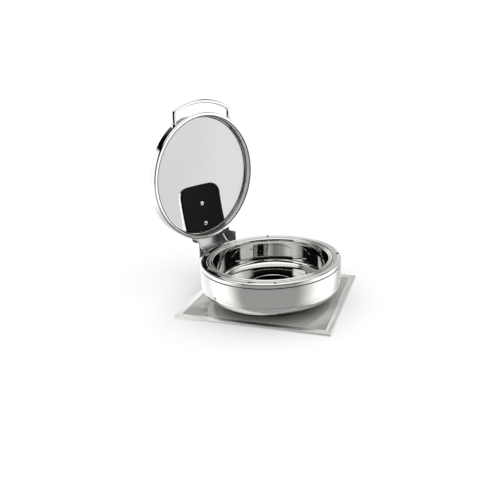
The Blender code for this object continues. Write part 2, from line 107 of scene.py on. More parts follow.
def studio_walls():
    """Walls that only mirrored rays see, mapped by compass bearing and by height.

    Bearing runs once round from the backdrop at 0, by the left wall at 0.25 and the
    dark front of the set at 0.5, to the backdrop again at 1.  Height runs from straight
    down at 0, by the horizon at 0.5, to straight up at 1.  Everything dull is lit by an
    even white sky, and rays through the glass find pale grey, darker to one side.
    """
    world = bpy.data.worlds.new("studio")
    world.use_nodes = True
    tree = world.node_tree
    tree.nodes.clear()
    out = tree.nodes.new("ShaderNodeOutputWorld")
    direction = tree.nodes.new("ShaderNodeTexCoord")
    turned_to_camera = tree.nodes.new("ShaderNodeVectorRotate")
    turned_to_camera.rotation_type = "Z_AXIS"
    turned_to_camera.inputs["Angle"].default_value = math.radians(-222.4)
    tree.links.new(direction.outputs["Generated"], turned_to_camera.inputs["Vector"])
    split = tree.nodes.new("ShaderNodeSeparateXYZ")
    tree.links.new(turned_to_camera.outputs["Vector"], split.inputs["Vector"])

    round_angle = tree.nodes.new("ShaderNodeMath")
    round_angle.operation = "ARCTAN2"
    tree.links.new(split.outputs["Y"], round_angle.inputs[0])
    tree.links.new(split.outputs["X"], round_angle.inputs[1])
    bearing = tree.nodes.new("ShaderNodeMath")
    bearing.operation = "MULTIPLY_ADD"
    bearing.inputs[1].default_value = 0.5 / math.pi
    bearing.inputs[2].default_value = 0.5
    tree.links.new(round_angle.outputs[0], bearing.inputs[0])
    height = tree.nodes.new("ShaderNodeMath")
    height.operation = "MULTIPLY_ADD"
    height.inputs[1].default_value = 0.5
    height.inputs[2].default_value = 0.5
    tree.links.new(split.outputs["Z"], height.inputs[0])

    def ramp(source, stops):
        node = tree.nodes.new("ShaderNodeValToRGB")
        node.color_ramp.interpolation = "EASE"
        while len(node.color_ramp.elements) < len(stops):
            node.color_ramp.elements.new(0.5)
        for element, (place, shade) in zip(node.color_ramp.elements, stops):
            element.position = place
            element.color = (shade, shade, shade * 0.985, 1.0)
        tree.links.new(source.outputs[0], node.inputs["Fac"])
        return node.outputs["Color"]

    def above(low, high, under, upper):
        """The upper band fades in over the one under it between two heights."""
        mix = tree.nodes.new("ShaderNodeMix")
        mix.data_type = "RGBA"
        tree.links.new(ramp(height, [(low, 0.0), (high, 1.0)]), mix.inputs["Factor"])
        tree.links.new(under, mix.inputs[6])
        tree.links.new(upper, mix.inputs[7])
        return mix.outputs[2]

    ground = ramp(bearing, [(0.0, 0.40), (0.13, 0.42), (0.25, 0.62), (0.30, 0.58), (0.38, 0.28),
                            (0.59, 0.28), (0.72, 0.62), (0.86, 0.45), (1.0, 0.40)])
    table = ramp(bearing, [(0.0, 0.60), (0.04, 0.80), (0.16, 0.74), (0.23, 1.0), (0.28, 0.92), (0.37, 0.27),
                           (0.60, 0.27), (0.74, 1.0), (0.80, 1.0), (0.90, 0.42), (1.0, 0.60)])
    walls = ramp(bearing, [(0.0, 0.55), (0.04, 0.84), (0.25, 0.84), (0.355, 0.90), (0.375, 0.005),
                           (0.60, 0.005), (0.65, 0.55), (0.72, 0.95), (0.80, 0.95), (0.89, 0.42),
                           (0.96, 0.30), (1.0, 0.55)])
    gap = ramp(bearing, [(0.0, 0.28), (0.06, 0.26), (0.13, 0.05), (0.165, 0.0), (0.60, 0.0),
                         (0.72, 0.30), (0.86, 0.30), (1.0, 0.28)])
    strip = ramp(bearing, [(0.0, 0.20), (0.10, 0.20), (0.13, 0.05), (0.165, 0.0), (0.60, 0.0),
                           (0.80, 0.10), (1.0, 0.20)])
    ceiling = ramp(bearing, [(0.0, 0.95), (1.0, 0.95)])
    whole = above(0.13, 0.27, ground, table)
    whole = above(0.41, 0.44, whole, walls)
    whole = above(0.71, 0.735, whole, gap)
    whole = above(0.80, 0.82, whole, strip)
    whole = above(0.86, 0.90, whole, ceiling)

    def light(strength):
        node = tree.nodes.new("ShaderNodeBackground")
        node.inputs["Color"].default_value = (1.0, 1.0, 1.0, 1.0)
        node.inputs["Strength"].default_value = strength
        return node

    walls_light = light(1.7)
    tree.links.new(whole, walls_light.inputs["Color"])
    rays = tree.nodes.new("ShaderNodeLightPath")
    shown = walls_light
    through_glass = light(0.7)
    sideways = tree.nodes.new("ShaderNodeMapRange")
    sideways.inputs["From Min"].default_value = -0.22
    sideways.inputs["From Max"].default_value = -0.08
    sideways.inputs["To Min"].default_value = 0.62
    sideways.inputs["To Max"].default_value = 0.75
    tree.links.new(split.outputs["Y"], sideways.inputs["Value"])
    tree.links.new(sideways.outputs["Result"], through_glass.inputs["Strength"])
    for kind, seen in (("Is Diffuse Ray", light(1.12)), ("Is Transmission Ray", through_glass),
                       ("Is Camera Ray", light(1.05))):
        pick = tree.nodes.new("ShaderNodeMixShader")
        tree.links.new(rays.outputs[kind], pick.inputs["Fac"])
        tree.links.new(shown.outputs[0], pick.inputs[1])
        tree.links.new(seen.outputs[0], pick.inputs[2])
        shown = pick
    tree.links.new(shown.outputs[0], out.inputs["Surface"])
    bpy.context.scene.world = world


studio_walls()

# ---------------------------------------------------------- base: the frame
# Mitred angle of satin stainless steel round the warming plate.  It is bent
# from strip, so its outer top edge is rounded and its grain runs along each side.
def grain_group():
    """Fine lines along one axis of the piece: how much shade and roughness they carry."""
    group = bpy.data.node_groups.new("grinding_grain", "ShaderNodeTree")
    for label, kind, value in (("Across", "NodeSocketFloat", 900.0), ("Along", "NodeSocketFloat", 8.0),
                               ("Turn", "NodeSocketFloat", 0.0)):
        socket = group.interface.new_socket(label, in_out="INPUT", socket_type=kind)
        socket.default_value = value
    group.interface.new_socket("Lines", in_out="OUTPUT", socket_type="NodeSocketFloat")
    inside = group.nodes.new("NodeGroupInput")
    outside = group.nodes.new("NodeGroupOutput")
    place = group.nodes.new("ShaderNodeTexCoord")
    turned = group.nodes.new("ShaderNodeVectorRotate")
    turned.rotation_type = "Z_AXIS"
    group.links.new(place.outputs["Object"], turned.inputs["Vector"])
    group.links.new(inside.outputs["Turn"], turned.inputs["Angle"])
    stretch = group.nodes.new("ShaderNodeCombineXYZ")
    group.links.new(inside.outputs["Across"], stretch.inputs["X"])
    group.links.new(inside.outputs["Along"], stretch.inputs["Y"])
    stretch.inputs["Z"].default_value = 200.0
    scaled = group.nodes.new("ShaderNodeVectorMath")
    scaled.operation = "MULTIPLY"
    group.links.new(turned.outputs["Vector"], scaled.inputs[0])
    group.links.new(stretch.outputs["Vector"], scaled.inputs[1])
    noise = group.nodes.new("ShaderNodeTexNoise")
    noise.inputs["Scale"].default_value = 1.0
    noise.inputs["Detail"].default_value = 3.0
    group.links.new(scaled.outputs["Vector"], noise.inputs["Vector"])
    group.links.new(noise.outputs["Fac"], outside.inputs["Lines"])
    return group


grinding_grain = grain_group()


def wear_group():
    """Broad hand marks and faint polishing haze, as one value round a half."""
    group = bpy.data.node_groups.new("handling_haze", "ShaderNodeTree")
    size = group.interface.new_socket("Size", in_out="INPUT", socket_type="NodeSocketFloat")
    size.default_value = 14.0
    group.interface.new_socket("Haze", in_out="OUTPUT", socket_type="NodeSocketFloat")
    inside = group.nodes.new("NodeGroupInput")
    outside = group.nodes.new("NodeGroupOutput")
    place = group.nodes.new("ShaderNodeTexCoord")
    noise = group.nodes.new("ShaderNodeTexNoise")
    noise.inputs["Detail"].default_value = 5.0
    noise.inputs["Roughness"].default_value = 0.62
    group.links.new(place.outputs["Object"], noise.inputs["Vector"])
    group.links.new(inside.outputs["Size"], noise.inputs["Scale"])
    group.links.new(noise.outputs["Fac"], outside.inputs["Haze"])
    return group


handling_haze = wear_group()


def new_material(name):
    made = bpy.data.materials.new(name)
    made.use_nodes = True
    shader = made.node_tree.nodes["Principled BSDF"]
    return made, made.node_tree, shader


def between(tree, source, low, high, start=0.3, end=0.7):
    """A value that runs from low to high as the source runs from start to end."""
    node = tree.nodes.new("ShaderNodeMapRange")
    node.inputs["From Min"].default_value = start
    node.inputs["From Max"].default_value = end
    node.inputs["To Min"].default_value = low
    node.inputs["To Max"].default_value = high
    tree.links.new(source, node.inputs["Value"])
    return node.outputs["Result"]


def haze_on(tree, size=14.0):
    """The handling haze, placed in this material at its own size."""
    node = tree.nodes.new("ShaderNodeGroup")
    node.node_tree = handling_haze
    node.inputs["Size"].default_value = size
    return node.outputs["Haze"]


def tone_on(tree, shader, source, low, high):
    """Base colour that runs from the low tone to the high one with the source."""
    tone = tree.nodes.new("ShaderNodeMix")
    tone.data_type = "RGBA"
    tone.inputs[6].default_value = (*low, 1.0)
    tone.inputs[7].default_value = (*high, 1.0)
    tree.links.new(source, tone.inputs["Factor"])
    tree.links.new(tone.outputs[2], shader.inputs["Base Color"])


def relief(tree, shader, source, depth, strength=1.0):
    bump = tree.nodes.new("ShaderNodeBump")
    bump.inputs["Distance"].default_value = depth
    bump.inputs["Strength"].default_value = strength
    tree.links.new(source, bump.inputs["Height"])
    tree.links.new(bump.outputs["Normal"], shader.inputs["Normal"])


def satin_steel(name, shade, turn, low=0.22, high=0.40):
    """Stainless steel ground in one direction: shade and roughness follow the grain."""
    made, tree, shader = new_material(name)
    shader.inputs["Metallic"].default_value = 1.0
    lines = tree.nodes.new("ShaderNodeGroup")
    lines.node_tree = grinding_grain
    lines.inputs["Turn"].default_value = turn
    both = tree.nodes.new("ShaderNodeMath")
    both.operation = "MULTIPLY_ADD"
    both.inputs[1].default_value = 0.3
    tree.links.new(haze_on(tree), both.inputs[0])
    tree.links.new(between(tree, lines.outputs["Lines"], 0.0, 0.7), both.inputs[2])
    tree.links.new(between(tree, both.outputs[0], low, high, 0.1, 0.9), shader.inputs["Roughness"])
    tone_on(tree, shader, both.outputs[0], (shade * 0.93, shade * 0.93, shade * 0.92),
            (shade, shade, shade * 0.99))
    relief(tree, shader, lines.outputs["Lines"], 0.00002, 0.25)
    return made


def cover_with(piece, finish):
    """Every face of the piece takes this one finish."""
    piece.data.materials.clear()
    piece.data.materials.append(finish)


def second_finish(piece, finish, takes_it):
    """Faces that pass the test show a second finish."""
    piece.data.materials.append(finish)
    for face in piece.data.polygons:
        face.material_index = 1 if takes_it(face) else 0


def only(piece):
    """Make one piece the selected and active one."""
    bpy.ops.object.select_all(action="DESELECT")
    piece.select_set(True)
    bpy.context.view_layer.objects.active = piece


def put_on(piece, body, finish, instead_of=None):
    """Finish a new piece: its place goes into its mesh, and it moves with its body."""
    only(piece)
    bpy.ops.object.transform_apply(location=True, rotation=True, scale=True)
    cover_with(piece, finish)
    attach(piece, body)
    if instead_of:
        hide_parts(instead_of)
    return piece


def smooth(piece, angle=35.0):
    only(piece)
    bpy.ops.object.shade_smooth_by_angle(angle=math.radians(angle))


def bevel(piece, width, segments=3, angle=30.0):
    only(piece)
    bpy.ops.object.modifier_add(type="BEVEL")
    edge = piece.modifiers[-1]
    edge.width = width
    edge.segments = segments
    edge.limit_method = "ANGLE"
    edge.angle_limit = math.radians(angle)
    bpy.ops.object.modifier_apply(modifier=edge.name)


plate_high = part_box("base_frame")[1]
plate_turn = math.radians(23.8)
frame_long = 0.418
frame_short = 0.376
frame_width = 0.017

bpy.ops.object.select_all(action="DESELECT")
bpy.ops.mesh.primitive_plane_add(size=1.0)
plate_frame = bpy.context.object
plate_frame.name = "plate_frame"
for corner in plate_frame.data.vertices:
    corner.co.x = math.copysign(frame_short / 2, corner.co.x)
    corner.co.y = math.copysign(frame_long / 2, corner.co.y)
bpy.ops.object.mode_set(mode="EDIT")
bpy.ops.mesh.select_all(action="SELECT")
bpy.ops.mesh.inset(thickness=frame_width, depth=0.0)
bpy.ops.mesh.delete(type="ONLY_FACE")
bpy.ops.mesh.select_all(action="SELECT")
bpy.ops.mesh.extrude_region_move(TRANSFORM_OT_translate={"value": (0.0, 0.0, plate_high.z)})
bpy.ops.mesh.select_all(action="SELECT")
bpy.ops.mesh.normals_make_consistent(inside=False)
bpy.ops.object.mode_set(mode="OBJECT")
bevel(plate_frame, 0.0009, 3)
smooth(plate_frame)
plate_frame.rotation_euler.z = plate_turn
frame_steel_long = satin_steel("frame_steel_long_sides", 0.92, -plate_turn)
frame_steel_short = satin_steel("frame_steel_short_sides", 0.92, math.pi / 2 - plate_turn)
put_on(plate_frame, "base", frame_steel_long, "base_frame")


def on_short_side(face):
    spot = Matrix.Rotation(-plate_turn, 3, "Z") @ face.center
    return abs(spot.y) - frame_long / 2 > abs(spot.x) - frame_short / 2


second_finish(plate_frame, frame_steel_short, on_short_side)


# ---------------------------------------------------- base: glass and backing
# Opaque grey tempered glass laid in the frame, its edges ground round, over a
# thin steel sheet that closes the plate underneath.  Glass and frame are hidden
# from mirrored rays, so the bowl's underside mirrors the studio and stays light.
def softened(node, name, width, body, finish, merge=0.000005, flat=1.0, segments=2, angle=32.0):
    """The CAD piece again with its sharp edges broken."""
    only(nodes[node])
    bpy.ops.object.duplicate()
    piece = bpy.context.object
    piece.name = name
    piece.parent = None
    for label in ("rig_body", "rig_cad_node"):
        del piece[label]
    bpy.ops.object.mode_set(mode="EDIT")
    bpy.ops.mesh.select_all(action="SELECT")
    bpy.ops.mesh.remove_doubles(threshold=merge)
    bpy.ops.mesh.dissolve_limited(angle_limit=math.radians(flat))
    bpy.ops.object.mode_set(mode="OBJECT")
    bevel(piece, width, segments, angle)
    smooth(piece)
    return put_on(piece, body, finish, node)


grey_glass, tree, shader = new_material("grey_panel_glass")
shader.inputs["IOR"].default_value = 2.2
haze = haze_on(tree, 9.0)
tone_on(tree, shader, haze, (0.33, 0.321, 0.308), (0.37, 0.360, 0.346))
tree.links.new(between(tree, haze, 0.04, 0.10), shader.inputs["Roughness"])
warming_glass = softened("base_glass", "warming_glass", 0.0006, "base", grey_glass,
                         merge=0.00001, flat=2.0, segments=3, angle=30.0)
for low_piece in (warming_glass, plate_frame):
    low_piece.visible_glossy = False

backing_steel = satin_steel("backing_sheet_steel", 0.55, 0.0, 0.35, 0.5)
cover_with(nodes["base_backing"], backing_steel)


# ------------------------------------------------------------- kettle casing
# Deep bowl spun from stainless sheet and mirror polished.  Its narrower neck and
# the shoulder under the collar carry painted shade, a near-black steel that draws
# the shadow line under the collar.  A fine groove marks where the straight wall
# turns into the rounded bottom.
def arc(reach, height, wide, tall, start, end, steps):
    """Points of (radius, height) round a middle point, between two angles in degrees."""
    points = []
    for i in range(steps + 1):
        t = math.radians(start + (end - start) * i / steps)
        points.append((reach + wide * math.cos(t), height + tall * math.sin(t)))
    return points


def turned(name, outline, steps=160, corner=0.0, rounds=2):
    """Turn a closed outline of (radius, height) once round the upright axis.

    Corners are rounded first.  Points at radius nought meet in one pole.
    """
    bpy.ops.object.select_all(action="DESELECT")
    bpy.ops.mesh.primitive_circle_add(vertices=len(outline), radius=1.0, fill_type="NOTHING")
    piece = bpy.context.object
    piece.name = name
    for point, (radius, height) in zip(piece.data.vertices, outline):
        point.co = (radius, 0.0, height)
    bpy.ops.object.mode_set(mode="EDIT")
    if corner:
        shape = bmesh.from_edit_mesh(piece.data)
        for point in shape.verts:
            point.select_set(point.co.x > corner)
        shape.select_flush(True)
        bmesh.update_edit_mesh(piece.data)
        bpy.ops.mesh.bevel(offset=corner, segments=rounds, affect="VERTICES", clamp_overlap=True)
    bpy.ops.mesh.select_all(action="SELECT")
    bpy.ops.mesh.spin(steps=steps, angle=2 * math.pi, center=(0.0, 0.0, 0.0), axis=(0.0, 0.0, 1.0))
    bpy.ops.mesh.select_all(action="SELECT")
    bpy.ops.mesh.remove_doubles(threshold=0.000005)
    bpy.ops.mesh.dissolve_degenerate(threshold=0.000001)
    bpy.ops.mesh.delete_loose(use_verts=True, use_edges=True, use_faces=False)
    bpy.ops.mesh.select_all(action="SELECT")
    bpy.ops.mesh.normals_make_consistent(inside=False)
    bpy.ops.object.mode_set(mode="OBJECT")
    smooth(piece, 50.0)
    return piece


def polished_steel(name, shade=0.66, low=0.015, high=0.05, lines=0.0):
    """Mirror-polished stainless steel with a faint haze; lines adds fine turning marks."""
    made, tree, shader = new_material(name)
    shader.inputs["Metallic"].default_value = 1.0
    haze = haze_on(tree)
    tree.links.new(between(tree, haze, low, high), shader.inputs["Roughness"])
    tone_on(tree, shader, haze, (shade * 0.97, shade * 0.975, shade * 0.95), (shade, shade, shade * 0.985))
    if lines:
        place = tree.nodes.new("ShaderNodeTexCoord")
        flat = tree.nodes.new("ShaderNodeVectorMath")
        flat.operation = "MULTIPLY"
        flat.inputs[1].default_value = (1.0, 1.0, 0.0)
        tree.links.new(place.outputs["Object"], flat.inputs[0])
        reach = tree.nodes.new("ShaderNodeVectorMath")
        reach.operation = "LENGTH"
        tree.links.new(flat.outputs["Vector"], reach.inputs[0])
        marks = tree.nodes.new("ShaderNodeTexNoise")
        marks.noise_dimensions = "1D"
        marks.inputs["Scale"].default_value = 900.0
        marks.inputs["Detail"].default_value = 2.0
        tree.links.new(reach.outputs["Value"], marks.inputs["W"])
        relief(tree, shader, marks.outputs["Fac"], 0.00002, lines)
    return made


rim_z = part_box("collar_ring")[1].z
rim_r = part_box("collar_ring")[1].x
collar_height = 0.0106
shadow_gap = 0.0026
neck = rim_z - collar_height - shadow_gap
neck_top = rim_z - 0.0032
neck_r = 0.1913
neck_inside_r = 0.1901
wall_foot = rim_z - 0.0655
wall_inside_r = 0.1934
bowl_bottom = rim_z - 0.1005
bottom_r = 0.153
corner_reach = 0.0403
squareness = 1.11
floor_edge_r = 0.1200
floor_edge = rim_z - 0.1062
floor_middle = rim_z - 0.1072
sheet = 0.0013


def bowl_curve(inset, steps=14):
    """The rounded bottom corner, a little squarer than an ellipse."""
    points = []
    for i in range(steps + 1):
        t = math.pi / 2 * i / steps
        out = max(math.cos(t), 0.0) ** squareness
        down = math.sin(t) ** squareness
        points.append((bottom_r + (corner_reach - inset) * out,
                       wall_foot - (wall_foot - bowl_bottom - inset) * down))
    return points


casing_outline = [(neck_r, neck_top), (neck_r, neck), (0.1945, neck), (0.1950, neck - 0.0006),
                  (0.1947, rim_z - 0.040), (0.1944, wall_foot + 0.0024), (0.1931, wall_foot + 0.0015),
                  (0.1931, wall_foot + 0.0009)]
casing_outline += bowl_curve(0.0)
casing_outline += [(floor_edge_r, floor_edge), (0.0, floor_middle)]
casing_outline += [(0.0, floor_middle + sheet), (floor_edge_r, floor_edge + sheet)]
casing_outline += list(reversed(bowl_curve(sheet)))
casing_outline += [(wall_inside_r, rim_z - 0.040), (wall_inside_r, neck - 0.0030),
                   (neck_inside_r, neck - 0.0010), (neck_inside_r, neck_top)]
casing_shell = turned("casing_shell", casing_outline, 224, 0.0003)
mirror_steel = polished_steel("casing_mirror_steel")
put_on(casing_shell, "kettle", mirror_steel, "kettle_casing")


# Mask for the painted shade: faces of the neck and the shoulder under the collar.
def in_painted_shade_neck(face):
    reach = math.hypot(face.center.x, face.center.y)
    return reach < 0.1944 and face.center.z > neck - 0.0002


# Painted shade: these faces take a near-black steel that stands for the shadow in the gap under the collar.
second_finish(casing_shell, satin_steel("neck_painted_shade_steel", 0.06, 0.0, 0.35, 0.50), in_painted_shade_neck)

disc_steel = polished_steel("induction_disc_steel", 0.50, 0.22, 0.34, 0.5)

# ---------------------------------------------------------------- collar ring
# Polished ring rolled over the casing's neck.  Its flat top takes the lid's gasket
# and the four buffers; its inner edge stops short of the insert, with a gap that is
# dark from real shade and from painted shade on the water pan below.
lip = 0.0008
edge_round = 0.0042
collar_outline = [(rim_r, rim_z - collar_height)]
collar_outline += arc(rim_r - edge_round, rim_z - edge_round, edge_round, edge_round, 0.0, 90.0, 8)
collar_outline += [(0.1898, rim_z - lip), (0.1780, rim_z - lip), (0.1772, rim_z), (0.1760, rim_z),
                   (0.1752, rim_z - 0.0007), (0.1752, rim_z - 0.0026), (0.1922, rim_z - 0.0026),
                   (0.1922, rim_z - collar_height)]
collar_band = turned("collar_band", collar_outline, 224, 0.0002)
collar_steel = polished_steel("collar_mirror_steel", 0.68)
put_on(collar_band, "kettle", collar_steel, "collar_ring")

# ------------------------------------------------------ soup insert, water pan
# The insert is drawn from one sheet: a beaded hanging rim with a broad rolled
# lip, straight walls and a stepped floor.
floor_top = rim_z - 0.0785
wall_end = rim_z - 0.0660
corner_middle = 0.1460
insert_outline = [(0.1716, rim_z - 0.0026)]
insert_outline += arc(0.1700, rim_z - 0.0016, 0.0018, 0.0016, 0.0, 180.0, 8)
insert_outline += [(0.1668, rim_z - 0.0022), (0.1660, rim_z - 0.0017), (0.1646, rim_z - 0.0010),
                   (0.1630, rim_z - 0.0008), (0.1614, rim_z - 0.0014), (0.1603, rim_z - 0.0030),
                   (0.1597, rim_z - 0.0062), (0.1592, rim_z - 0.0150), (0.1580, wall_end)]
insert_outline += arc(corner_middle, wall_end, 0.0120, -0.0140, 0.0, 90.0, 8)[1:]
insert_outline += [(0.1090, rim_z - 0.0800), (0.1040, floor_top), (0.0620, floor_top),
                   (0.0590, floor_top - 0.0009), (0.0, floor_top - 0.0009)]
insert_outline += [(0.0, floor_top - 0.0021), (0.0590, floor_top - 0.0021), (0.0620, floor_top - 0.0012),
                   (0.1038, floor_top - 0.0012), (0.1088, rim_z - 0.0812), (0.1462, rim_z - 0.0812)]
insert_outline += arc(corner_middle, wall_end, 0.0132, -0.0152, 90.0, 0.0, 8)[1:]
insert_outline += [(0.1604, rim_z - 0.0152), (0.1609, rim_z - 0.0064), (0.1617, rim_z - 0.0038),
                   (0.1632, rim_z - 0.0029), (0.1680, rim_z - 0.0027)]
insert_bowl = turned("insert_bowl", insert_outline, 224, 0.0004)
insert_steel = polished_steel("insert_mirror_steel", 0.66, 0.02, 0.06, 0.12)
put_on(insert_bowl, "kettle", insert_steel, "soup_insert")

# Painted shade: the water pan's steel is made darker so the gap inside the collar reads as a shadow.
pan_painted_shade_steel = polished_steel("water_pan_painted_shade_steel", 0.35, 0.20, 0.32, 0.4)
cover_with(nodes["water_pan"], pan_painted_shade_steel)

# ------------------------------------------------------------------- buffers
# Small dark silicone buttons that stand on the collar's flat top, a quarter turn
# apart.  The lid lands on them.
silicone, tree, shader = new_material("dark_silicone")
haze = haze_on(tree, 60.0)
tone_on(tree, shader, haze, (0.022, 0.022, 0.022), (0.050, 0.050, 0.049))
tree.links.new(between(tree, haze, 0.45, 0.65), shader.inputs["Roughness"])

buffer_reach = 0.1875
buffer_r = 0.0032
buffer_chamfer = 0.0006
buffer_top = rim_z + 0.0009
buffer_outline = [(0.0, rim_z - lip), (buffer_r, rim_z - lip), (buffer_r, buffer_top - buffer_chamfer),
                  (buffer_r - buffer_chamfer, buffer_top), (0.0, buffer_top)]
for place, bearing in (("front_left", 225.0), ("front_right", 315.0),
                       ("back_left", 135.0), ("back_right", 45.0)):
    button = turned("buffer_" + place, buffer_outline, 32, 0.0002)
    around = math.radians(bearing)
    button.location = (buffer_reach * math.cos(around), buffer_reach * math.sin(around), 0.0)
    put_on(button, "kettle", silicone, "rim_buffer_" + place)


# --------------------------------------------------------------- fixed hinge
# Machined satin steel bracket on the casing, four screws, a polished pin with
# domed caps, black washers and a coil spring.
hinge_steel = satin_steel("hinge_satin_steel", 0.58, math.pi / 2, 0.24, 0.38)
pin_steel = polished_steel("hinge_pin_steel", 0.66, 0.05, 0.12)
washer_plastic, tree, shader = new_material("washer_plastic")
tree.links.new(between(tree, haze_on(tree), 0.35, 0.5), shader.inputs["Roughness"])
shader.inputs["Base Color"].default_value = (0.015, 0.015, 0.015, 1.0)
softened("hinge_bracket", "bracket", 0.0005, "kettle", hinge_steel)
softened("induction_base", "induction_disc", 0.0006, "kettle", disc_steel)
cover_with(nodes["torsion_spring"], hinge_steel)
cover_with(nodes["hinge_pin"], pin_steel)
for side in ("left", "right"):
    cover_with(nodes["hinge_washer_" + side], washer_plastic)
    cover_with(nodes["pin_cap_" + side], pin_steel)
    for row in ("upper", "lower"):
        cover_with(nodes["bracket_screw_" + row + "_" + side], pin_steel)

# ------------------------------------------------------------------ lid ring
# Polished stainless band that holds the glass, brushed on its inner wall.  Lid
# pieces are drawn closed, flat round the upright axis, and then stood up on the pin.
hinge = [joint for joint in frame["joints"] if joint["name"] == "lid_hinge"][0]
pin = Vector(hinge["pos_m"])
lid_reach = pin.y


def stand_up(piece, on_axis=True):
    """Swing a piece drawn closed to the open lid's place.

    Pieces on the lid's axis are drawn round the origin, others from the pin.
    """
    piece.rotation_euler = (-math.pi / 2, 0.0, 0.0)
    piece.location = pin + Vector((0.0, 0.0, lid_reach)) if on_axis else pin
    only(piece)
    bpy.ops.object.transform_apply(location=True, rotation=True, scale=True)
    return piece


ring_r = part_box("lid_ring")[1].x
ring_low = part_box("lid_ring")[0].y - pin.y
ring_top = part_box("lid_ring")[1].y - pin.y
low_round = 0.0036
top_round = 0.0030
ring_outline = arc(ring_r - low_round, ring_low + low_round, low_round, low_round, -90.0, 0.0, 8)
ring_outline += arc(ring_r - top_round, ring_top - top_round, top_round, top_round, 0.0, 90.0, 6)
ring_outline += [(0.1776, ring_top), (0.1770, ring_top - 0.0006), (0.1770, ring_top - 0.0022),
                 (0.1798, ring_top - 0.0034), (0.1806, ring_top - 0.0060), (0.1808, ring_low + 0.0034),
                 (0.1826, ring_low + 0.0026), (0.1828, ring_low)]
lid_band = turned("lid_band", ring_outline, 224, 0.0002)
stand_up(lid_band)
lid_steel = polished_steel("lid_mirror_steel", 0.68)
put_on(lid_band, "lid", lid_steel, "lid_ring")


def on_inner_wall(face):
    outward = Vector((face.center.x, 0.0, face.center.z - pin.z - lid_reach))
    return 0.1795 < outward.length < 0.1822 and face.normal.dot(outward) < 0.0


second_finish(lid_band, satin_steel("lid_inside_steel", 0.92, 0.0, 0.28, 0.42), on_inner_wall)

# ----------------------------------------------------------- gasket and seal
# Dark silicone lip under the ring and a second ring that beds the glass.
gasket_outline = [(0.1823, ring_low - 0.0002), (0.1823, ring_low + 0.0020), (0.1802, ring_low + 0.0020),
                  (0.1802, ring_low + 0.0004), (0.1806, ring_low - 0.0002)]
gasket = turned("gasket_lip", gasket_outline, 192, 0.0002)
stand_up(gasket)
put_on(gasket, "lid", silicone, "lid_gasket")

glass_r = 0.1755
dome_rise = 0.0270
glass_thickness = 0.0040
sphere_r = (glass_r ** 2 + dome_rise ** 2) / (2 * dome_rise)
dome_top = ring_top + dome_rise


def dome_height(reach):
    """Upper face of the lid glass above the pin, at a distance from the lid's axis."""
    return dome_top - sphere_r + math.sqrt(sphere_r ** 2 - reach ** 2)


glass_foot = dome_height(glass_r) - glass_thickness
seal_outline = [(0.1764, ring_top - 0.0018), (0.1764, ring_top + 0.0006), (0.1758, ring_top + 0.0012),
                (0.1758, glass_foot - 0.0006), (0.1767, glass_foot - 0.0006), (0.1767, ring_top - 0.0018)]
seal = turned("glass_bed", seal_outline, 192, 0.0001)
stand_up(seal)
put_on(seal, "lid", silicone, "glass_seal")


# ------------------------------------------------------------------ lid glass
# Clear tempered glass pressed to a shallow dome, with a ground edge and two
# drilled holes for the screws that hold the hinge cover.
def cut_away(piece, tool):
    """Take the tool's shape out of the piece; the tool is used up."""
    only(piece)
    bpy.ops.object.modifier_add(type="BOOLEAN")
    cutter = piece.modifiers[-1]
    cutter.operation = "DIFFERENCE"
    cutter.solver = "EXACT"
    cutter.object = tool
    bpy.ops.object.modifier_apply(modifier=cutter.name)
    bpy.data.objects.remove(tool, do_unlink=True)


screw_places = (0.0895, 0.1505)
dome_steps = [glass_r * i / 24 for i in range(25)]
dome_outline = [(reach, dome_height(reach)) for reach in dome_steps]
dome_outline += [(reach, dome_height(reach) - glass_thickness) for reach in reversed(dome_steps)]
lid_dome = turned("lid_dome", dome_outline, 192, 0.0004)
screw_hole_r = 0.0030
for place in screw_places:
    bpy.ops.object.select_all(action="DESELECT")
    bpy.ops.mesh.primitive_cylinder_add(vertices=32, radius=screw_hole_r, depth=0.06,
                                        location=(0.0, place, dome_height(place)))
    cut_away(lid_dome, bpy.context.object)
smooth(lid_dome, 30.0)
stand_up(lid_dome)

clear_glass, tree, shader = new_material("clear_lid_glass")
shader.inputs["Transmission Weight"].default_value = 1.0
shader.inputs["IOR"].default_value = 1.5
haze = haze_on(tree, 4.0)
tree.links.new(between(tree, haze, 0.0, 0.015), shader.inputs["Roughness"])
tone_on(tree, shader, between(tree, haze, 0.0, 1.0), (0.865, 0.872, 0.862), (0.965, 0.968, 0.962))
put_on(lid_dome, "lid", clear_glass, "lid_glass")

# --------------------------------------------------------------- hinge cover
# Pressed steel hood that grips the ring and the glass from above and hides the
# hinge, polished outside and satin inside.  Its nose corners and edges are rounded.
cover_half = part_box("hinge_cover")[1].x
cover_front = lid_reach - 0.0330
cover_side = [(0.0370, -0.0080), (-0.0020, -0.0080), (-0.0080, -0.0045), (-0.0110, 0.0030),
              (-0.0110, 0.0320), (-0.0098, 0.0390), (-0.0062, 0.0445), (0.0000, 0.0485),
              (0.0166, 0.0540), (0.0460, 0.0605), (0.0800, 0.0670), (0.1200, 0.0730),
              (0.1600, 0.0775), (cover_front, 0.0794), (cover_front, 0.0560), (0.0600, 0.0330)]


